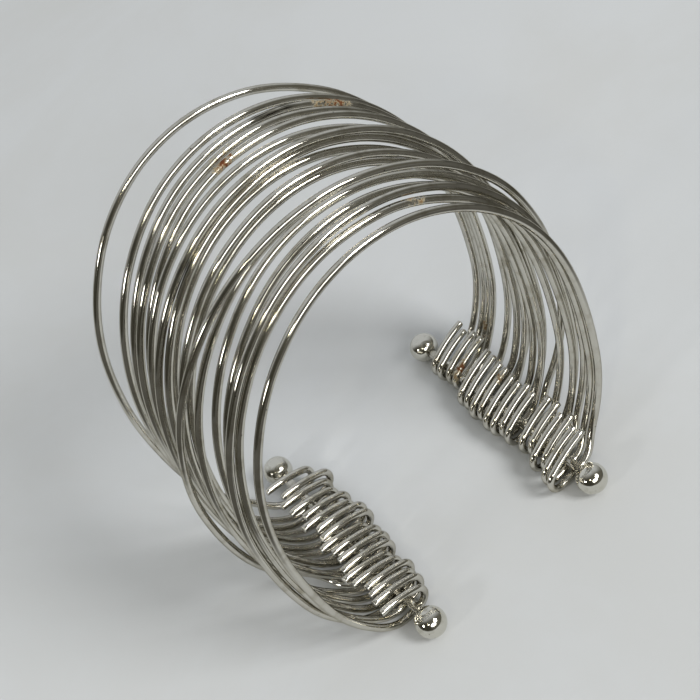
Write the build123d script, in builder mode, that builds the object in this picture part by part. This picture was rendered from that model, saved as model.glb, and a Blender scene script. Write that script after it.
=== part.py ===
from build123d import *
from collections import namedtuple
from math import cos, radians, sin, sqrt
import os

# Wire cuff bracelet, an open C of separate sprung wires that stands on its two ends.
# Each wire is one oval loop, and both its ends are hooked round a straight bar.
# Each bar is a rod with a ball pressed on either end, which keeps the hooks on it.
# X runs from the left bar to the right one, Y from the near rim to the far one, Z up.
# The four balls touch Z = 0. Sizes are in millimetres and degrees.

# Stock
wire_diameter = 1.2
rod_diameter = 1.5
ball_diameter = 5.0

# The two bars: ball centre to ball centre, and from one rod to the other
bar_length = 43.4
bar_spacing = 33.2

# The loop that the middle wires follow: an oval, its centre above the rods
loop_half_width = 30.0
loop_half_height = 37.5
loop_centre_height = 27.8
foot_bulge = 1.5

# Hooks, the same on both bars. Each hangs loosely on its rod: the turn is wider than a
# snug one by hook_turn_slack, and the level lower run passes hook_under_gap below the
# rod, as far as hook_run_past beyond it.
# hook_slant turns the hook about Z, its free end outwards and along the bar.
hook_turn_slack = 0.65
hook_under_gap = 0.25
hook_run_past = 0.8
hook_return_angle = 17.0
hook_return_length = 7.1
hook_slant = 6.0

# Running clearance between two wires, and the softened edge of a cut end
wire_clearance = 0.1
cut_end_chamfer = 0.12

# Ball seats
ball_seat_depth = 3.2
ball_seat_clearance = 0.03
rod_end_chamfer = 0.2
ball_mouth_chamfer = 0.15

# Places round the loop where two arcs meet: the angle from straight down and up the left
# side, and how far the place stands outside the oval
LoopPlace = namedtuple("LoopPlace", "angle bulge")
loop_places = (
    LoopPlace(50, foot_bulge),
    LoopPlace(90, 0),
    LoopPlace(135, 0),
    LoopPlace(180, 0),
    LoopPlace(225, 0),
    LoopPlace(270, 0),
    LoopPlace(310, foot_bulge),
)

# One row for each wire, from the far rim to the near one, chosen by hand.
# left_gap, right_gap: free bar before its hook, in shares of which a bar has free_shares.
# left_reach, right_reach: how far the hook's turn lies past the rod, in wire steps.
# left_layer, right_layer: how far the loop stands outside the middle ones on that side,
# in wire steps. The upper halves rise with them, and the lower halves are all as deep.
# left_bow, right_bow, top_bow: how far the loop's widest points and its top lie beyond
# its hooks, towards the far rim, in wire steps.
# left_tail, right_tail: length of its straight returns, in shares of the usual one.
free_shares = 168
WireRow = namedtuple(
    "WireRow",
    "left_gap right_gap left_reach right_reach"
    " left_layer right_layer left_bow right_bow top_bow left_tail right_tail",
)
wire_rows = [
    WireRow(26.0, 27.0, 1.30, 0.00, 0.55, 0.85, 4.20, 1.85, 5.60, 1.00, 1.00),
    WireRow(21.0, 5.0, 2.70, 0.05, 0.25, 1.15, 0.80, 1.55, 2.60, 1.10, 0.90),
    WireRow(3.0, 8.0, 1.80, -0.25, 0.10, 1.05, -0.30, 2.00, 2.00, 1.10, 0.95),
    WireRow(10.0, 7.0, 1.55, -0.20, 0.30, 0.80, 0.05, 2.10, 1.85, 1.00, 0.95),
    WireRow(12.0, 20.0, 2.20, 1.05, -0.45, 1.30, 0.40, 2.20, 2.65, 0.95, 1.05),
    WireRow(7.0, 5.0, 1.85, 1.00, 0.20, 0.10, 0.90, 0.55, 2.35, 1.10, 1.00),
    WireRow(9.0, 9.0, 2.65, 1.45, 0.80, 1.25, 0.45, 0.30, 0.40, 1.05, 1.05),
    WireRow(7.0, 3.0, 2.60, 1.05, 0.35, 0.05, 0.20, 1.45, 1.75, 1.10, 0.95),
    WireRow(2.0, 9.0, 1.05, 1.50, -0.70, -0.75, 1.35, 1.20, 3.25, 1.00, 1.00),
    WireRow(9.0, 6.0, 1.85, 1.45, 0.30, -0.05, 0.45, 0.55, 0.90, 1.00, 0.95),
    WireRow(8.0, 4.0, 1.95, 0.95, -0.70, -1.05, 1.60, 1.55, 2.80, 1.05, 0.95),
    WireRow(7.0, 6.0, 1.70, 1.20, 2.00, 1.00, 3.25, -1.00, -2.55, 1.10, 0.90),
    WireRow(1.5, 19.0, 0.50, 0.90, 0.55, -1.15, 1.05, 1.25, 1.65, 1.00, 1.00),
    WireRow(6.5, 6.0, 0.90, 0.55, -0.65, 0.10, 0.00, 1.45, 1.65, 1.00, 0.95),
    WireRow(9.0, 9.0, 1.55, 1.80, -0.65, -1.00, -0.40, 2.30, 1.75, 0.95, 1.00),
    WireRow(2.0, 4.0, 0.95, 1.00, 0.55, -0.25, -1.20, 1.85, 0.10, 0.90, 1.00),
    WireRow(5.0, 6.0, 1.10, 2.20, -0.50, -1.00, -0.15, 1.60, 1.10, 1.00, 1.00),
    WireRow(8.0, 5.0, 0.50, 2.45, -1.10, -0.85, -1.15, 1.50, 0.05, 0.90, 1.10),
]

# Values worked out from the sizes above
bar_half_length = bar_length / 2
bar_half_spacing = bar_spacing / 2
bar_height = ball_diameter / 2
wire_step = wire_diameter + wire_clearance
hook_radius = (rod_diameter + wire_diameter) / 2 + hook_turn_slack
hook_drop = (rod_diameter + wire_diameter) / 2 + hook_under_gap


def hook_places(gaps):
    """The Y of each hook on a bar, far one first. The free bar is shared out by gaps."""
    free = bar_length - ball_diameter - len(gaps) * wire_diameter
    edge = bar_half_length - ball_diameter / 2
    places = []
    for gap in gaps:
        edge -= free * gap / free_shares
        places.append(edge - wire_diameter / 2)
        edge -= wire_diameter
    return places


def loop_station(place, row, left_y, right_y):
    """A point of the wire's leaning oval and the direction of travel, left side up."""
    left_width = loop_half_width + row.left_layer * wire_step
    right_width = loop_half_width + row.right_layer * wire_step
    left_side = left_y + row.left_bow * wire_step
    right_side = right_y + row.right_bow * wire_step
    slant = (right_side - left_side) / (left_width + right_width)
    middle = left_side + slant * left_width
    top_height = loop_half_height * (left_width + right_width) / (2 * loop_half_width)
    top = (left_y + right_y) / 2 + row.top_bow * wire_step
    lean = (top - middle) / top_height
    turn = radians(place.angle)
    half_width = left_width if place.angle < 180 else right_width
    half_height = top_height if 90 < place.angle < 270 else loop_half_height
    across = -half_width * cos(turn)
    up = half_height * sin(turn)
    outside = Vector(-up, 0, across).normalized() * place.bulge
    x = -half_width * sin(turn) + outside.X
    z = -half_height * cos(turn) + outside.Z
    point = Vector(x, middle + slant * x + lean * z, bar_height + loop_centre_height + z)
    return point, Vector(across, slant * across + lean * up, up).normalized()


def hook_points(side, y, reach, tail):
    """Cut end, the two ends of the turn, the outer end of the lower run, and directions."""
    back = radians(hook_return_angle)
    slant = radians(hook_slant)
    outwards = Vector(side * cos(slant), side * sin(slant), 0)
    upwards = Vector(0, 0, 1)
    rod = Vector(side * bar_half_spacing, y, bar_height)
    centre = rod - outwards * reach * wire_step + upwards * (hook_radius - hook_drop)
    returning = outwards * cos(back) + upwards * sin(back)
    inner = centre + (upwards * cos(back) - outwards * sin(back)) * hook_radius
    cut = inner + returning * hook_return_length * tail
    under = centre - upwards * hook_radius
    outer = rod + outwards * hook_run_past - upwards * hook_drop
    return cut, inner, under, outer, returning, outwards


def meeting_point(start, start_direction, end, end_direction):
    """Where two arcs that leave start and reach end along the given directions meet."""
    chord = end - start
    both = start_direction + end_direction
    spread = 2 * (1 - start_direction.dot(end_direction))
    along = chord.dot(both)
    reach = (sqrt(along**2 + spread * chord.dot(chord)) - along) / spread
    from_start = start + start_direction * reach
    from_end = end - end_direction * reach
    return (from_start + from_end) / 2, (from_end - from_start).normalized()


def loop_arcs(stations):
    """Tangent arcs through the stations, two from each to the next."""
    for (start, start_direction), (end, end_direction) in zip(stations, stations[1:]):
        middle, direction = meeting_point(start, start_direction, end, end_direction)
        TangentArc(start, middle, tangent=start_direction)
        TangentArc(middle, end, tangent=direction)


def make_wire(row, left_y, right_y):
    """One wire: straight return, hook, loop, hook, straight return."""
    left_cut, left_inner, left_under, left_outer, left_return, left_out = hook_points(
        -1, left_y, row.left_reach, row.left_tail
    )
    right_cut, right_inner, right_under, right_outer, right_return, right_out = hook_points(
        1, right_y, row.right_reach, row.right_tail
    )
    stations = [(left_outer, left_out)]
    for place in loop_places:
        stations.append(loop_station(place, row, left_y, right_y))
    stations.append((right_outer, -right_out))
    with BuildPart() as wire:
        with BuildLine() as route:
            Line(left_cut, left_inner)
            TangentArc(left_inner, left_under, tangent=-left_return)
            Line(left_under, left_outer)
            loop_arcs(stations)
            Line(right_outer, right_under)
            TangentArc(right_under, right_inner, tangent=-right_out)
            Line(right_inner, right_cut)
        with BuildSketch(Plane(origin=left_cut, z_dir=-left_return)):
            Circle(wire_diameter / 2)
        sweep()
        cut_ends = wire.faces().filter_by(GeomType.PLANE)
        chamfer(cut_ends.edges(), cut_end_chamfer)
    return wire


def make_rod(side):
    """A straight rod, its two ends inside the balls."""
    seat_bottom = bar_half_length - ball_diameter / 2 + ball_seat_depth
    with BuildPart() as rod:
        with BuildSketch(Plane.XZ):
            with Locations((side * bar_half_spacing, bar_height)):
                Circle(rod_diameter / 2)
        extrude(amount=seat_bottom - ball_seat_clearance, both=True)
        chamfer(rod.edges().filter_by(GeomType.CIRCLE), rod_end_chamfer)
    return rod


def make_ball(side, end):
    """A ball with a blind hole on the rod's side. end is 1 at the far rim, -1 at the near."""
    centre = Vector(side * bar_half_spacing, end * bar_half_length, bar_height)
    with BuildPart(Plane(origin=centre, z_dir=(0, -end, 0))) as ball:
        Sphere(ball_diameter / 2)
        with Locations((0, 0, ball_diameter / 2)):
            Hole(rod_diameter / 2 + ball_seat_clearance, depth=ball_seat_depth)
        mouth = ball.edges().filter_by(GeomType.CIRCLE).sort_by(Axis.Y)[0 if end > 0 else -1]
        chamfer(mouth, ball_mouth_chamfer)
    return ball


os.makedirs("parts", exist_ok=True)

# Wires
left_places = hook_places([row.left_gap for row in wire_rows])
right_places = hook_places([row.right_gap for row in wire_rows])
for number, row in enumerate(wire_rows):
    wire = make_wire(row, left_places[number], right_places[number])
    wire.part.label = f"wire_{number + 1:02d}"
    export_step(wire.part, f"parts/{wire.part.label}.step")

# Bars
for side, side_name in ((-1, "left"), (1, "right")):
    rod = make_rod(side)
    rod.part.label = f"rod_{side_name}"
    export_step(rod.part, f"parts/{rod.part.label}.step")
    for end, end_name in ((1, "far"), (-1, "near")):
        ball = make_ball(side, end)
        ball.part.label = f"ball_{side_name}_{end_name}"
        export_step(ball.part, f"parts/{ball.part.label}.step")
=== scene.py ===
import math
import random
from collections import namedtuple

import bpy
from mathutils import Matrix, Vector


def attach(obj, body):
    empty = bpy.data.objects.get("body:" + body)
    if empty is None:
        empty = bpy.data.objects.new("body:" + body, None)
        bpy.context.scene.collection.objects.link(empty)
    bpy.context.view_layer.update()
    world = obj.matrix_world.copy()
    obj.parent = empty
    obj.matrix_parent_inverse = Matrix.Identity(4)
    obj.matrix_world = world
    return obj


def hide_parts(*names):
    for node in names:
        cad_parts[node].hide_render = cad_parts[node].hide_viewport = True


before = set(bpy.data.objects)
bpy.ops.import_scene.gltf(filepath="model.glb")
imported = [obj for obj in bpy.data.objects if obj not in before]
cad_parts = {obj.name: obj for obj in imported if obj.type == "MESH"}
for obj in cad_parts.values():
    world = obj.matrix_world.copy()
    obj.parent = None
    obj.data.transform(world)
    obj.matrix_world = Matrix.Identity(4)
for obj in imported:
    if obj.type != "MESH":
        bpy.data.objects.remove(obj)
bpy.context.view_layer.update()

bpy.ops.object.select_all(action="DESELECT")

# ---- Wires
# Eighteen separate lengths of drawn steel wire, 1.2 mm thick, each bent by hand into one
# oval loop. Both ends turn back round the bars as long open hooks and are cut off with
# side cutters, so no two wires bend quite alike.
wire_diameter = 0.0012
rod_diameter = 0.0015
ball_diameter = 0.0050
bar_length = 0.0434
bar_spacing = 0.0332
loop_half_width = 0.0300
loop_half_height = 0.0375
loop_centre_height = 0.0278
foot_bulge = 0.0015
hook_turn_slack = 0.00065
hook_under_gap = 0.00025
hook_run_past = 0.0008
hook_return_angle = 17.0
hook_return_length = 0.0071
hook_slant = 6.0
tail_curl = 12.0
wire_clearance = 0.0001
cut_edge = 0.00012

bar_half_length = bar_length / 2
bar_half_spacing = bar_spacing / 2
bar_height = ball_diameter / 2
wire_radius = wire_diameter / 2
wire_step = wire_diameter + wire_clearance
hook_radius = (rod_diameter + wire_diameter) / 2 + hook_turn_slack
hook_drop = (rod_diameter + wire_diameter) / 2 + hook_under_gap

wire_sides = 24
ring_spacing = 0.0007
ring_angle = math.radians(7)

LoopPlace = namedtuple("LoopPlace", "angle bulge")
loop_places = (
    LoopPlace(50, foot_bulge),
    LoopPlace(90, 0),
    LoopPlace(135, 0),
    LoopPlace(180, 0),
    LoopPlace(225, 0),
    LoopPlace(270, 0),
    LoopPlace(310, foot_bulge),
)

# Far rim first. Gaps are shares of the free bar before each hook, reaches, layers and
# bows are wire steps, and tails are shares of the usual length.
free_shares = 168
WireRow = namedtuple(
    "WireRow",
    "left_gap right_gap left_reach right_reach"
    " left_layer right_layer left_bow right_bow top_bow left_tail right_tail",
)
wire_rows = [
    WireRow(26.0, 27.0, 1.30, 0.00, 0.55, 0.85, 4.20, 1.85, 5.60, 1.00, 1.00),
    WireRow(21.0, 5.0, 2.70, 0.05, 0.25, 1.15, 0.80, 1.55, 2.60, 1.10, 0.90),
    WireRow(3.0, 8.0, 1.80, -0.25, 0.10, 1.05, -0.30, 2.00, 2.00, 1.10, 0.95),
    WireRow(10.0, 7.0, 1.55, -0.20, 0.30, 0.80, 0.05, 2.10, 1.85, 1.00, 0.95),
    WireRow(12.0, 20.0, 2.20, 1.05, -0.45, 1.30, 0.40, 2.20, 2.65, 0.95, 1.05),
    WireRow(7.0, 5.0, 1.85, 1.00, 0.20, 0.10, 0.90, 0.55, 2.35, 1.10, 1.00),
    WireRow(9.0, 9.0, 2.65, 1.45, 0.80, 1.25, 0.45, 0.30, 0.40, 1.05, 1.05),
    WireRow(7.0, 3.0, 2.60, 1.05, 0.35, 0.05, 0.20, 1.45, 1.75, 1.10, 0.95),
    WireRow(2.0, 9.0, 1.05, 1.50, -0.70, -0.75, 1.35, 1.20, 3.25, 1.00, 1.00),
    WireRow(9.0, 6.0, 1.85, 1.45, 0.30, -0.05, 0.45, 0.55, 0.90, 1.00, 0.95),
    WireRow(8.0, 4.0, 1.95, 0.95, -0.70, -1.05, 1.60, 1.55, 2.80, 1.05, 0.95),
    WireRow(7.0, 6.0, 1.70, 1.20, 2.00, 1.00, 3.25, -1.00, -2.55, 1.10, 0.90),
    WireRow(1.5, 19.0, 0.50, 0.90, 0.55, -1.15, 1.05, 1.25, 1.65, 1.00, 1.00),
    WireRow(6.5, 6.0, 0.90, 0.55, -0.65, 0.10, 0.00, 1.45, 1.65, 1.00, 0.95),
    WireRow(9.0, 9.0, 1.55, 1.80, -0.65, -1.00, -0.40, 2.30, 1.75, 0.95, 1.00),
    WireRow(2.0, 4.0, 0.95, 1.00, 0.55, -0.25, -1.20, 1.85, 0.10, 0.90, 1.00),
    WireRow(5.0, 6.0, 1.10, 2.20, -0.50, -1.00, -0.15, 1.60, 1.10, 1.00, 1.00),
    WireRow(8.0, 5.0, 0.50, 2.45, -1.10, -0.85, -1.15, 1.50, 0.05, 0.90, 1.10),
]


def hook_places(gaps):
    """The Y of each hook on a bar, far one first."""
    free = bar_length - ball_diameter - len(gaps) * wire_diameter
    edge = bar_half_length - ball_diameter / 2
    places = []
    for gap in gaps:
        edge -= free * gap / free_shares
        places.append(edge - wire_radius)
        edge -= wire_diameter
    return places


def loop_station(place, row, left_y, right_y):
    """A point of the wire's leaning oval and the direction of travel, left side up."""
    left_width = loop_half_width + row.left_layer * wire_step
    right_width = loop_half_width + row.right_layer * wire_step
    left_side = left_y + row.left_bow * wire_step
    right_side = right_y + row.right_bow * wire_step
    slant = (right_side - left_side) / (left_width + right_width)
    middle = left_side + slant * left_width
    top_height = loop_half_height * (left_width + right_width) / (2 * loop_half_width)
    top = (left_y + right_y) / 2 + row.top_bow * wire_step
    lean = (top - middle) / top_height
    turn = math.radians(place.angle)
    half_width = left_width if place.angle < 180 else right_width
    half_height = top_height if 90 < place.angle < 270 else loop_half_height
    across = -half_width * math.cos(turn)
    up = half_height * math.sin(turn)
    outside = Vector((-up, 0, across)).normalized() * place.bulge
    x = -half_width * math.sin(turn) + outside.x
    z = -half_height * math.cos(turn) + outside.z
    point = Vector((x, middle + slant * x + lean * z, bar_height + loop_centre_height + z))
    return point, Vector((across, slant * across + lean * up, up)).normalized()


def hook_points(side, y, reach, tail):
    """Cut end, the two ends of the turn, the outer end of the lower run, and directions.

    The tail's ends are those of a straight one at hook_return_angle. It leaves the turn
    steeper by tail_curl and flattens towards the cut end."""
    straight = math.radians(hook_return_angle)
    steep = math.radians(hook_return_angle + tail_curl)
    slant = math.radians(hook_slant)
    outwards = Vector((side * math.cos(slant), side * math.sin(slant), 0))
    upwards = Vector((0, 0, 1))
    rod = Vector((side * bar_half_spacing, y, bar_height))
    centre = rod - outwards * reach * wire_step + upwards * (hook_radius - hook_drop)
    cut = centre + (upwards * math.cos(straight) - outwards * math.sin(straight)) * hook_radius
    cut += (outwards * math.cos(straight) + upwards * math.sin(straight)) * (
        hook_return_length * tail
    )
    inner = centre + (upwards * math.cos(steep) - outwards * math.sin(steep)) * hook_radius
    leaving = outwards * math.cos(steep) + upwards * math.sin(steep)
    chord = (cut - inner).normalized()
    returning = 2 * leaving.dot(chord) * chord - leaving
    under = centre - upwards * hook_radius
    outer = rod + outwards * hook_run_past - upwards * hook_drop
    return cut, returning, inner, leaving, under, outer, outwards


def meeting_point(start, start_direction, end, end_direction):
    """Where two arcs that leave start and reach end along the given directions meet."""
    chord = end - start
    both = start_direction + end_direction
    spread = 2 * (1 - start_direction.dot(end_direction))
    along = chord.dot(both)
    reach = (math.sqrt(along**2 + spread * chord.dot(chord)) - along) / spread
    from_start = start + start_direction * reach
    from_end = end - end_direction * reach
    return (from_start + from_end) / 2, (from_end - from_start).normalized()


def draw_straight(start, end):
    """Extrudes the open end of the wire along a straight run."""
    run = end - start
    rings = max(1, round(run.length / ring_spacing))
    for _ in range(rings):
        bpy.ops.mesh.extrude_region_move(TRANSFORM_OT_translate={"value": run / rings})


def bend_round(start, direction, end):
    """Spins the open end of the wire round the arc that leaves start along direction."""
    chord = end - start
    axis = direction.cross(chord).normalized()
    inwards = axis.cross(direction)
    half_turn = math.atan2(chord.dot(inwards), chord.dot(direction))
    radius = chord.length / (2 * math.sin(half_turn))
    turn = 2 * half_turn
    rings = max(2, round(turn * radius / ring_spacing), math.ceil(turn / ring_angle))
    if radius < 2 * hook_radius:
        rings = math.ceil(turn / ring_angle)
    # With no window, spin turns the other way about its axis.
    bpy.ops.mesh.spin(steps=rings, angle=turn, center=start + inwards * radius, axis=-axis)


def bend_wire(name, row, left_y, right_y):
    """One wire from cut end to cut end, an open tube drawn out of a circle."""
    cut, returning, inner, leaving, under, outer, outwards = hook_points(
        -1, left_y, row.left_reach, row.left_tail
    )
    stations = [(outer, outwards)]
    for place in loop_places:
        stations.append(loop_station(place, row, left_y, right_y))
    bpy.ops.mesh.primitive_circle_add(
        vertices=wire_sides,
        radius=wire_radius,
        location=cut,
        rotation=(-returning).to_track_quat("Z", "Y").to_euler(),
    )
    wire = bpy.context.object
    wire.name = name
    wire.data.name = name
    bpy.ops.object.transform_apply(location=True, rotation=True, scale=True)
    bpy.ops.object.mode_set(mode="EDIT")
    bpy.ops.mesh.select_all(action="SELECT")
    bend_round(cut, -returning, inner)
    bend_round(inner, -leaving, under)
    draw_straight(under, outer)
    cut, returning, inner, leaving, under, outer, outwards = hook_points(
        1, right_y, row.right_reach, row.right_tail
    )
    stations.append((outer, -outwards))
    for (start, start_direction), (end, end_direction) in zip(stations, stations[1:]):
        middle, direction = meeting_point(start, start_direction, end, end_direction)
        bend_round(start, start_direction, middle)
        bend_round(middle, direction, end)
    draw_straight(outer, under)
    bend_round(under, -outwards, inner)
    bend_round(inner, leaving, cut)
    bpy.ops.object.mode_set(mode="OBJECT")
    return wire


def pick(piece, faces=(), edges=()):
    """Leaves only the given faces and edges of a piece selected."""
    for part in (piece.data.vertices, piece.data.edges, piece.data.polygons):
        part.foreach_set("select", [False] * len(part))
    for item in (*faces, *edges):
        item.select = True
        for index in item.vertices:
            piece.data.vertices[index].select = True


# How far hand bending leaves a loop off its true line: the sum of a few slow waves, which
# fade out over the hooks. The cutters squeeze and slant each end.
uneven_waves = 4
uneven_length = (0.012, 0.060)
uneven_size = 0.000025
hook_length = 0.018
nip_squeeze = (0.78, 0.95)
nip_tilt = (-0.25, 0.25)
cut_edge_segments = 2
smooth_angle = math.radians(40)

# How far apart the wires lie in their shared pattern, so that no two are marked alike.
wire_apart = 0.3

# Where the plating has gone on the real wires: share of the length from the left cut
# end, and how far the mark runs each way.
WireMark = namedtuple("WireMark", "kind wire share length strength")
wire_marks = (
    WireMark("rust", 3, 0.60, 0.0035, 0.85),
    WireMark("stain", 3, 0.55, 0.0050, 0.90),
    WireMark("rust", 3, 0.89, 0.0012, 0.70),
    WireMark("rust", 4, 0.50, 0.0050, 0.30),
    WireMark("rust", 4, 0.97, 0.0022, 0.90),
    WireMark("rust", 5, 0.49, 0.0022, 1.00),
    WireMark("stain", 7, 0.43, 0.0020, 0.70),
    WireMark("rust", 8, 0.99, 0.0010, 0.75),
    WireMark("stain", 10, 0.35, 0.0025, 0.80),
    WireMark("rust", 13, 0.55, 0.0022, 0.85),
    WireMark("stain", 15, 0.08, 0.0012, 0.80),
    WireMark("rust", 17, 0.56, 0.0020, 0.60),
)


def finish_wire(wire, seed):
    """Hand-bent unevenness, nipped ends, and the wire's own coordinate for its material."""
    chance = random.Random(seed)
    points = [vertex.co.copy() for vertex in wire.data.vertices]
    rings = [points[i:i + wire_sides] for i in range(0, len(points), wire_sides)]
    centres = [sum(ring, Vector()) / wire_sides for ring in rings]
    travelled = [0.0]
    for before, after in zip(centres, centres[1:]):
        travelled.append(travelled[-1] + (after - before).length)
    length = travelled[-1]
    waves = []
    for _ in range(uneven_waves):
        way = Vector([chance.uniform(-1, 1) for _ in range(3)])
        waves.append((way, chance.uniform(*uneven_length), chance.uniform(0, math.tau)))
    place = wire.data.attributes.new("wire_place", "FLOAT_VECTOR", "POINT")
    marks = wire.data.attributes.new("wire_marks", "FLOAT_VECTOR", "POINT")
    for number, (ring, centre, along) in enumerate(zip(rings, centres, travelled)):
        free = min(along, length - along) / hook_length
        held = max(0.0, min(1.0, free - 1.0))
        wander = Vector()
        for way, wave_length, phase in waves:
            wander += way * math.sin(math.tau * along / wave_length + phase)
        rust, stain = 0.0, 0.0
        for mark in wire_marks:
            if mark.wire == seed:
                off = (along - mark.share * length) / mark.length
                strength = mark.strength * math.exp(-off * off)
                rust = max(rust, strength if mark.kind == "rust" else 0.0)
                stain = max(stain, strength if mark.kind == "stain" else 0.0)
        cut = 1.0 if number in (0, len(rings) - 1) else 0.0
        for corner, point in enumerate(ring):
            index = number * wire_sides + corner
            around = math.tau * corner / wire_sides
            section = (math.cos(around) * wire_radius, math.sin(around) * wire_radius)
            place.data[index].vector = (along + seed * wire_apart, *section)
            marks.data[index].vector = (rust, stain, cut)
            wire.data.vertices[index].co = point + wander * uneven_size * held
    for ring_number, inside in ((0, 1), (len(rings) - 1, len(rings) - 2)):
        outwards = (centres[ring_number] - centres[inside]).normalized()
        nip = outwards.orthogonal().normalized()
        nip.rotate(Matrix.Rotation(chance.uniform(0, math.tau), 3, outwards))
        squeeze = chance.uniform(*nip_squeeze)
        tilt = chance.uniform(*nip_tilt)
        for corner in range(wire_sides):
            vertex = wire.data.vertices[ring_number * wire_sides + corner]
            off = (vertex.co - centres[ring_number]).dot(nip)
            vertex.co += nip * off * (squeeze - 1) + outwards * off * tilt
    bpy.ops.object.mode_set(mode="EDIT")
    bpy.ops.mesh.select_all(action="SELECT")
    bpy.ops.mesh.fill_holes(sides=wire_sides)
    bpy.ops.mesh.select_all(action="SELECT")
    bpy.ops.mesh.normals_make_consistent(inside=False)
    bpy.ops.object.mode_set(mode="OBJECT")
    pick(wire, faces=[face for face in wire.data.polygons if len(face.vertices) == wire_sides])
    bpy.ops.object.mode_set(mode="EDIT")
    bpy.ops.mesh.bevel(offset=cut_edge, segments=cut_edge_segments, affect="EDGES")
    bpy.ops.object.mode_set(mode="OBJECT")
    bpy.ops.object.shade_smooth_by_angle(angle=smooth_angle)


left_places = hook_places([row.left_gap for row in wire_rows])
right_places = hook_places([row.right_gap for row in wire_rows])
wires = []
for number, row in enumerate(wire_rows):
    wire = bend_wire(f"bent_wire_{number + 1:02d}", row, left_places[number], right_places[number])
    finish_wire(wire, number + 1)
    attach(wire, "root")
    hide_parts(f"wire_{number + 1:02d}")
    wires.append(wire)


def add_node(tree, kind, values=None, **settings):
    """A shader node with its settings and the values of its unlinked inputs."""
    node = tree.nodes.new(kind)
    for name, value in settings.items():
        setattr(node, name, value)
    for name, value in (values or {}).items():
        node.inputs[name].default_value = value
    return node


def new_effect(name, inputs, outputs):
    """An empty node group with named sockets, and its two end nodes."""
    effect = bpy.data.node_groups.new(name, "ShaderNodeTree")
    for way, sockets in (("INPUT", inputs), ("OUTPUT", outputs)):
        for socket, kind in sockets.items():
            effect.interface.new_socket(socket, in_out=way, socket_type=f"NodeSocket{kind}")
    return effect, effect.nodes.new("NodeGroupInput"), effect.nodes.new("NodeGroupOutput")


def place_effect(tree, effect, **values):
    """One use of an effect in a material, with its own values."""
    node = tree.nodes.new("ShaderNodeGroup")
    node.node_tree = effect
    for name, value in values.items():
        node.inputs[name].default_value = value
    return node


def ramp(tree, source, start, end, low=0.0, high=1.0):
    """The source's values from start to end spread over low to high, with soft ends."""
    node = add_node(
        tree, "ShaderNodeMapRange",
        {"From Min": start, "From Max": end, "To Min": low, "To Max": high},
        interpolation_type="SMOOTHSTEP",
    )
    tree.links.new(source, node.inputs["Value"])
    return node.outputs["Result"]


def mix_colour(tree, share, first, second):
    """Mixes two colours, each a plain value or an output."""
    node = add_node(tree, "ShaderNodeMix", data_type="RGBA")
    tree.links.new(share, node.inputs[0])
    for socket, colour in ((node.inputs[6], first), (node.inputs[7], second)):
        if isinstance(colour, tuple):
            socket.default_value = colour
        else:
            tree.links.new(colour, socket)
    return node.outputs[2]


def reckon(tree, operation, first, second):
    """A sum, product or the like of an output and another output or plain value."""
    node = add_node(tree, "ShaderNodeMath", operation=operation)
    tree.links.new(first, node.inputs[0])
    if isinstance(second, (int, float)):
        node.inputs[1].default_value = second
    else:
        tree.links.new(second, node.inputs[1])
    return node.outputs[0]


# Fine lines that a die, a lathe or a buff leaves along the metal.
line_noise = (0.36, 0.64)
draw_lines, start, end = new_effect(
    "draw_lines", {"Place": "Vector", "Along": "Float", "Across": "Float"}, {"Lines": "Float"}
)
stretch = add_node(draw_lines, "ShaderNodeCombineXYZ")
stretched = add_node(draw_lines, "ShaderNodeVectorMath", operation="MULTIPLY")
streaks = add_node(draw_lines, "ShaderNodeTexNoise", {"Scale": 1.0, "Detail": 4.0})
draw_lines.links.new(start.outputs["Along"], stretch.inputs["X"])
draw_lines.links.new(start.outputs["Across"], stretch.inputs["Y"])
draw_lines.links.new(start.outputs["Across"], stretch.inputs["Z"])
draw_lines.links.new(start.outputs["Place"], stretched.inputs[0])
draw_lines.links.new(stretch.outputs[0], stretched.inputs[1])
draw_lines.links.new(stretched.outputs[0], streaks.inputs["Vector"])
lines = ramp(draw_lines, streaks.outputs["Fac"], *line_noise)
draw_lines.links.new(lines, end.inputs["Lines"])

# Cloudy patches where handling has dulled the metal.
dulled_above_least = 0.30
tarnish, start, end = new_effect(
    "tarnish",
    {"Place": "Vector", "Patches": "Float", "Least": "Float", "Clean": "Color", "Dull": "Color"},
    {"Color": "Color", "Mask": "Float"},
)
clouds = add_node(
    tarnish, "ShaderNodeTexNoise", {"Detail": 5.0, "Roughness": 0.65, "Distortion": 0.4}
)
tarnish.links.new(start.outputs["Place"], clouds.inputs["Vector"])
tarnish.links.new(start.outputs["Patches"], clouds.inputs["Scale"])
above_least = reckon(tarnish, "SUBTRACT", clouds.outputs["Fac"], start.outputs["Least"])
dulled = ramp(tarnish, above_least, 0.0, dulled_above_least)
tarnish.links.new(dulled, end.inputs["Mask"])
tarnish.links.new(
    mix_colour(tarnish, dulled, start.outputs["Clean"], start.outputs["Dull"]),
    end.inputs["Color"],
)

# Sparse round pits and specks of dirt.
pit_rim = 0.34
pit_floor = 0.12
pits, start, end = new_effect(
    "pits", {"Place": "Vector", "Close": "Float", "Share": "Float"}, {"Mask": "Float"}
)
cells = add_node(pits, "ShaderNodeTexVoronoi")
pits.links.new(start.outputs["Place"], cells.inputs["Vector"])
pits.links.new(start.outputs["Close"], cells.inputs["Scale"])
chosen = add_node(pits, "ShaderNodeSeparateColor")
pits.links.new(cells.outputs["Color"], chosen.inputs[0])
kept = reckon(pits, "LESS_THAN", chosen.outputs[0], start.outputs["Share"])
dot = ramp(pits, cells.outputs["Distance"], pit_rim, pit_floor)
pits.links.new(reckon(pits, "MULTIPLY", kept, dot), end.inputs["Mask"])

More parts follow.
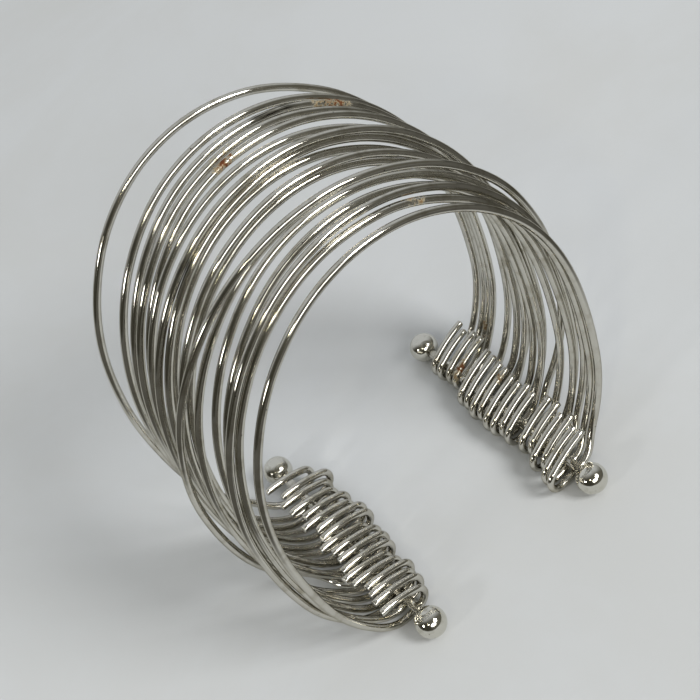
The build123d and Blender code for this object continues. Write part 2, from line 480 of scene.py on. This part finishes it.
# Rust that comes through in the painted places, straw yellow at its edge.
rust_grain_scale = 1300.0
rust_grains = (0.36, 0.66)
rust_stains = (0.08, 0.42)
rust_eats = (0.25, 0.65)
rust_straw = (0.36, 0.29, 0.16, 1)
rust_brown = (0.14, 0.042, 0.014, 1)
rusting, start, end = new_effect(
    "rusting",
    {"Painted": "Float", "Place": "Vector", "Metal": "Color"},
    {"Color": "Color", "Mask": "Float"},
)
grains = add_node(
    rusting, "ShaderNodeTexNoise",
    {"Scale": rust_grain_scale, "Detail": 6.0, "Roughness": 0.75},
)
rusting.links.new(start.outputs["Place"], grains.inputs["Vector"])
grain_share = ramp(rusting, grains.outputs["Fac"], *rust_grains)
reached = reckon(rusting, "MULTIPLY", grain_share, start.outputs["Painted"])
rusted = ramp(rusting, reached, *rust_stains)
eaten = ramp(rusting, reached, *rust_eats)
rust_colour = mix_colour(rusting, eaten, rust_straw, rust_brown)
rusting.links.new(rusted, end.inputs["Mask"])
rusting.links.new(
    mix_colour(rusting, rusted, start.outputs["Metal"], rust_colour), end.inputs["Color"]
)

bright_steel = (0.63, 0.61, 0.55, 1)
dull_steel = (0.40, 0.375, 0.305, 1)
stain_black = (0.06, 0.055, 0.045, 1)
cut_bright = (0.80, 0.79, 0.76, 1)
# What the wire gives back where it is seen at a low angle, along its two sides.
side_grey = (0.45, 0.43, 0.38, 1)
wire_roughness = (0.07, 0.16)
line_roughness = 0.04
rust_roughness = 0.60
cut_roughness = 0.30
rust_metallic = 0.35
line_depth = 0.0000006
pit_in_lines = 14.0
stain_takes = (0.2, 0.7)
cut_face_starts = 0.85

drawn_steel = bpy.data.materials.new("drawn_steel")
drawn_steel.use_nodes = True
tree = drawn_steel.node_tree
shader = tree.nodes["Principled BSDF"]
shader.inputs["Specular Tint"].default_value = side_grey
wire_place = add_node(tree, "ShaderNodeAttribute", attribute_name="wire_place").outputs["Vector"]
wire_marked = add_node(tree, "ShaderNodeAttribute", attribute_name="wire_marks")
marked = add_node(tree, "ShaderNodeSeparateXYZ")
tree.links.new(wire_marked.outputs["Vector"], marked.inputs[0])
drawn = place_effect(tree, draw_lines, Along=260.0, Across=9000.0)
handled = place_effect(
    tree, tarnish, Patches=240.0, Least=0.44, Clean=bright_steel, Dull=dull_steel
)
pitted = place_effect(tree, pits, Close=2200.0, Share=0.015)
corroded = place_effect(tree, rusting)
for effect in (drawn, handled, pitted, corroded):
    tree.links.new(wire_place, effect.inputs["Place"])
tree.links.new(marked.outputs["X"], corroded.inputs["Painted"])
tree.links.new(handled.outputs["Color"], corroded.inputs["Metal"])
cut_face = ramp(tree, marked.outputs["Z"], cut_face_starts, 1.0)
stain_in_lines = reckon(tree, "MULTIPLY", marked.outputs["Y"], drawn.outputs["Lines"])
blackened = reckon(
    tree, "MAXIMUM", pitted.outputs["Mask"], ramp(tree, stain_in_lines, *stain_takes)
)
stained = mix_colour(tree, blackened, corroded.outputs["Color"], stain_black)
tree.links.new(mix_colour(tree, cut_face, stained, cut_bright), shader.inputs["Base Color"])
wire_rough = reckon(
    tree, "ADD",
    ramp(tree, handled.outputs["Mask"], 0.0, 1.0, *wire_roughness),
    ramp(tree, drawn.outputs["Lines"], 0.0, 1.0, 0.0, line_roughness),
)
worn_rough = reckon(
    tree, "MAXIMUM",
    ramp(tree, corroded.outputs["Mask"], 0.0, 1.0, 0.0, rust_roughness),
    ramp(tree, cut_face, 0.0, 1.0, 0.0, cut_roughness),
)
tree.links.new(reckon(tree, "MAXIMUM", wire_rough, worn_rough), shader.inputs["Roughness"])
tree.links.new(
    ramp(tree, corroded.outputs["Mask"], 0.0, 1.0, 1.0, rust_metallic),
    shader.inputs["Metallic"],
)
relief = add_node(tree, "ShaderNodeBump", {"Strength": 1.0, "Distance": line_depth})
height = reckon(
    tree, "SUBTRACT", drawn.outputs["Lines"],
    reckon(tree, "MULTIPLY", pitted.outputs["Mask"], pit_in_lines),
)
tree.links.new(height, relief.inputs["Height"])
tree.links.new(relief.outputs["Normal"], shader.inputs["Normal"])
for wire in wires:
    wire.data.materials.clear()
    wire.data.materials.append(drawn_steel)

# ---- Rods
# A straight polished steel rod, 1.5 mm thick, in each bar. The hooks hang on it and its
# ends are pressed into the balls.
rod_roughness = (0.12, 0.26)
rod_line_depth = 0.0000015
rod_steel = bpy.data.materials.new("rod_steel")
rod_steel.use_nodes = True
tree = rod_steel.node_tree
shader = tree.nodes["Principled BSDF"]
shader.inputs["Metallic"].default_value = 1.0
rod_place = add_node(tree, "ShaderNodeTexCoord").outputs["Object"]
crossed = add_node(tree, "ShaderNodeSeparateXYZ")
rod_along = add_node(tree, "ShaderNodeCombineXYZ")
tree.links.new(rod_place, crossed.inputs[0])
for towards, source in (("X", "Y"), ("Y", "X"), ("Z", "Z")):
    tree.links.new(crossed.outputs[source], rod_along.inputs[towards])
drawn = place_effect(tree, draw_lines, Along=300.0, Across=8000.0)
handled = place_effect(
    tree, tarnish, Patches=420.0, Least=0.40, Clean=bright_steel, Dull=dull_steel
)
pitted = place_effect(tree, pits, Close=1400.0, Share=0.06)
for effect in (drawn, handled, pitted):
    tree.links.new(rod_along.outputs[0], effect.inputs["Place"])
tree.links.new(
    mix_colour(tree, pitted.outputs["Mask"], handled.outputs["Color"], stain_black),
    shader.inputs["Base Color"],
)
tree.links.new(
    ramp(tree, handled.outputs["Mask"], 0.0, 1.0, *rod_roughness), shader.inputs["Roughness"]
)
relief = add_node(tree, "ShaderNodeBump", {"Strength": 1.0, "Distance": rod_line_depth})
tree.links.new(drawn.outputs["Lines"], relief.inputs["Height"])
tree.links.new(relief.outputs["Normal"], shader.inputs["Normal"])
for name in ("rod_left", "rod_right"):
    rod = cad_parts[name]
    rod.data.materials.clear()
    rod.data.materials.append(rod_steel)

# ---- Balls
# Four plated steel balls, 5 mm across and polished like mirrors. Each has a blind hole
# that is pressed on to the rod, so it keeps the hooks from sliding off.
ball_segments = 64
ball_rings = 40
bore_angle = math.radians(18.1)
bore_depth = 0.0032
mouth_edge = 0.00010
mouth_edge_segments = 2
on_surface = ball_diameter / 2 * 0.99


def turn_ball(name, side, end):
    """A ball whose pole faces the rod, with the hole pushed in at that pole."""
    centre = Vector((side * bar_half_spacing, end * bar_half_length, bar_height))
    bpy.ops.mesh.primitive_uv_sphere_add(
        segments=ball_segments,
        ring_count=ball_rings,
        radius=ball_diameter / 2,
        location=centre,
        rotation=(math.pi / 2, 0, 0),
    )
    ball = bpy.context.object
    ball.name = name
    ball.data.name = name
    bpy.ops.object.transform_apply(location=True, rotation=True, scale=True)
    to_rod = Vector((0, -end, 0))
    pick(ball, faces=[
        face for face in ball.data.polygons
        if (face.center - centre).angle(to_rod) < bore_angle
    ])
    bpy.ops.object.mode_set(mode="EDIT")
    bpy.ops.mesh.dissolve_faces()
    bpy.ops.mesh.extrude_region_move(
        TRANSFORM_OT_translate={"value": -to_rod * bore_depth}
    )
    bpy.ops.object.mode_set(mode="OBJECT")
    mouth = []
    for edge in ball.data.edges:
        ends = [ball.data.vertices[index].co - centre for index in edge.vertices]
        if all(off.length > on_surface for off in ends):
            if all(off.angle(to_rod) < bore_angle for off in ends):
                mouth.append(edge)
    pick(ball, edges=mouth)
    bpy.ops.object.mode_set(mode="EDIT")
    bpy.ops.mesh.bevel(offset=mouth_edge, segments=mouth_edge_segments, affect="EDGES")
    bpy.ops.mesh.select_all(action="SELECT")
    bpy.ops.mesh.normals_make_consistent(inside=False)
    bpy.ops.object.mode_set(mode="OBJECT")
    bpy.ops.object.shade_smooth_by_angle(angle=smooth_angle)
    return ball


plate_bright = (0.68, 0.665, 0.60, 1)
plate_dull = (0.50, 0.48, 0.40, 1)
speck_grey = (0.30, 0.28, 0.23, 1)
plate_roughness = (0.06, 0.13)
buff_roughness = 0.03
buff_depth = 0.0000005
mirror_plate = bpy.data.materials.new("mirror_plate")
mirror_plate.use_nodes = True
tree = mirror_plate.node_tree
shader = tree.nodes["Principled BSDF"]
shader.inputs["Metallic"].default_value = 1.0
ball_place = add_node(tree, "ShaderNodeTexCoord").outputs["Object"]
buffed = place_effect(tree, draw_lines, Along=700.0, Across=5200.0)
handled = place_effect(
    tree, tarnish, Patches=650.0, Least=0.46, Clean=plate_bright, Dull=plate_dull
)
specks = place_effect(tree, pits, Close=2200.0, Share=0.03)
for effect in (buffed, handled, specks):
    tree.links.new(ball_place, effect.inputs["Place"])
tree.links.new(
    mix_colour(tree, specks.outputs["Mask"], handled.outputs["Color"], speck_grey),
    shader.inputs["Base Color"],
)
tree.links.new(
    reckon(
        tree, "ADD",
        ramp(tree, handled.outputs["Mask"], 0.0, 1.0, *plate_roughness),
        ramp(tree, buffed.outputs["Lines"], 0.0, 1.0, 0.0, buff_roughness),
    ),
    shader.inputs["Roughness"],
)
relief = add_node(tree, "ShaderNodeBump", {"Strength": 1.0, "Distance": buff_depth})
tree.links.new(buffed.outputs["Lines"], relief.inputs["Height"])
tree.links.new(relief.outputs["Normal"], shader.inputs["Normal"])
for side, side_name in ((-1, "left"), (1, "right")):
    for end, end_name in ((1, "far"), (-1, "near")):
        ball = turn_ball(f"pressed_ball_{side_name}_{end_name}", side, end)
        ball.data.materials.clear()
        ball.data.materials.append(mirror_plate)
        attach(ball, "root")
        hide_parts(f"ball_{side_name}_{end_name}")

# ---- Table
# A plain sheet of pale grey paper that the bracelet stands on. Past two edges near the
# bracelet the paper carries a painted reflection: the metal sees it near black there, while
# the camera and the light it passes on still see it pale. Each edge has its way from the
# middle and the distances over which the painted dark comes in.
PaintedReflectionEdge = namedtuple("PaintedReflectionEdge", "way start end")
painted_reflection_edges = (
    PaintedReflectionEdge((-0.73, -0.68, 0.0), 0.050, 0.080),
    PaintedReflectionEdge((0.70, -0.71, 0.0), 0.050, 0.075),
)
paper_pale = (0.615, 0.632, 0.642, 1)
paper_warm = (0.592, 0.604, 0.604, 1)
# Painted reflection: the near black that the metal sees on the paper past its edges.
painted_reflection_dark = (0.09, 0.087, 0.076, 1)
paper_roughness = (0.78, 0.92)
paper_shine = 0.25
fibre_depth = 0.000008
fibre_strength = 0.5
table_width = 8
bpy.ops.mesh.primitive_plane_add(size=table_width)
table = bpy.context.object
table.name = "table"
table.data.name = "table"
paper = bpy.data.materials.new("paper")
paper.use_nodes = True
tree = paper.node_tree
shader = tree.nodes["Principled BSDF"]
shader.inputs["Specular IOR Level"].default_value = paper_shine
table_place = add_node(tree, "ShaderNodeTexCoord").outputs["Object"]
mottled = place_effect(
    tree, tarnish, Patches=14.0, Least=0.35, Clean=paper_pale, Dull=paper_warm
)
fibres = place_effect(tree, draw_lines, Along=900.0, Across=2600.0)
for effect in (mottled, fibres):
    tree.links.new(table_place, effect.inputs["Place"])
painted_reflection_shares = []
for edge in painted_reflection_edges:
    towards = add_node(tree, "ShaderNodeVectorMath", {1: edge.way}, operation="DOT_PRODUCT")
    tree.links.new(table_place, towards.inputs[0])
    painted_reflection_shares.append(ramp(tree, towards.outputs["Value"], edge.start, edge.end))
# Painted reflection: only rays from the metal see the paper darkened past the edges.
seen_in_metal = add_node(tree, "ShaderNodeLightPath").outputs["Is Glossy Ray"]
tree.links.new(
    mix_colour(
        tree, reckon(tree, "MULTIPLY", seen_in_metal, reckon(tree, "MAXIMUM", *painted_reflection_shares)),
        mottled.outputs["Color"], painted_reflection_dark,
    ),
    shader.inputs["Base Color"],
)
tree.links.new(
    ramp(tree, fibres.outputs["Lines"], 0.0, 1.0, *paper_roughness), shader.inputs["Roughness"]
)
relief = add_node(
    tree, "ShaderNodeBump", {"Strength": fibre_strength, "Distance": fibre_depth}
)
tree.links.new(fibres.outputs["Lines"], relief.inputs["Height"])
tree.links.new(relief.outputs["Normal"], shader.inputs["Normal"])
table.data.materials.append(paper)

# ---- Studio
# A room with pale walls behind and above that is dim near the camera and darkest at its
# left, lit by two large softboxes at the right of the camera and two small lamps.
Lamp = namedtuple("Lamp", "name azimuth elevation distance width height power colour")
lamps = (
    Lamp("main_softbox", -58, 39, 2.00, 0.76, 0.76, 26.0, (1.0, 1.0, 1.0)),
    Lamp("front_softbox", -94, 28, 2.00, 1.40, 0.76, 12.0, (1.0, 1.0, 1.0)),
    Lamp("left_lamp", -172, 25, 1.20, 0.18, 0.18, 2.0, (1.0, 0.99, 0.97)),
    Lamp("warm_lamp", -131, 42, 1.20, 0.10, 0.10, 0.8, (1.0, 0.93, 0.70)),
)
for lamp in lamps:
    light = bpy.data.lights.new(lamp.name, "AREA")
    light.shape = "ELLIPSE"
    light.size = lamp.width
    light.size_y = lamp.height
    light.energy = lamp.power
    light.color = lamp.colour
    azimuth = math.radians(lamp.azimuth)
    elevation = math.radians(lamp.elevation)
    way = Vector((
        math.cos(elevation) * math.cos(azimuth),
        math.cos(elevation) * math.sin(azimuth),
        math.sin(elevation),
    ))
    holder = bpy.data.objects.new(lamp.name, light)
    holder.location = way * lamp.distance + Vector((0, 0, bar_height))
    holder.rotation_euler = way.to_track_quat("Z", "Y").to_euler()
    bpy.context.scene.collection.objects.link(holder)

# What the metal sees all round it, and the plain backdrop that the camera sees.
wall_pale = (0.58, 0.60, 0.62, 1)
room_dim = (0.13, 0.126, 0.106, 1)
corner_dark = (0.05, 0.048, 0.037, 1)
backdrop = (0.56, 0.58, 0.59, 1)
wall_way = (0.198, 0.740, 0.643)
wall_reach = (0.15, 0.75)
corner_way = (-0.93, -0.34, 0.05)
corner_reach = (0.45, 0.90)
world = bpy.data.worlds.new("room")
world.use_nodes = True
tree = world.node_tree
looking = add_node(tree, "ShaderNodeTexCoord").outputs["Generated"]
shares = []
for way, reach in ((wall_way, wall_reach), (corner_way, corner_reach)):
    towards = add_node(tree, "ShaderNodeVectorMath", {1: way}, operation="DOT_PRODUCT")
    tree.links.new(looking, towards.inputs[0])
    shares.append(ramp(tree, towards.outputs["Value"], *reach))
walls = mix_colour(tree, shares[0], room_dim, wall_pale)
room = mix_colour(tree, shares[1], walls, corner_dark)
seen_straight = add_node(tree, "ShaderNodeLightPath").outputs["Is Camera Ray"]
tree.links.new(
    mix_colour(tree, seen_straight, room, backdrop), tree.nodes["Background"].inputs["Color"]
)
bpy.context.scene.world = world
bpy.context.scene.view_settings.view_transform = "Standard"

# ---- Camera
# It looks down at the bracelet from the near left and is rolled to the left.
photo_pixels = 700
focal_pixels = 1483.3
sensor_width = 36
clip_range = (0.01, 20)
camera_place = Vector((-0.04144, -0.14850, 0.18724))
camera_right = Vector((0.7536, -0.5582, -0.3471))
camera_down = Vector((-0.6303, -0.4636, -0.6227))
camera_ahead = Vector((0.1867, 0.6880, -0.7012))
camera_data = bpy.data.cameras.new("camera")
camera_data.sensor_width = sensor_width
camera_data.lens = focal_pixels / photo_pixels * sensor_width
camera_data.clip_start, camera_data.clip_end = clip_range
camera = bpy.data.objects.new("camera", camera_data)
turned = Matrix((camera_right, -camera_down, -camera_ahead)).transposed()
camera.matrix_world = Matrix.Translation(camera_place) @ turned.to_4x4()
bpy.context.scene.collection.objects.link(camera)
bpy.context.scene.camera = camera
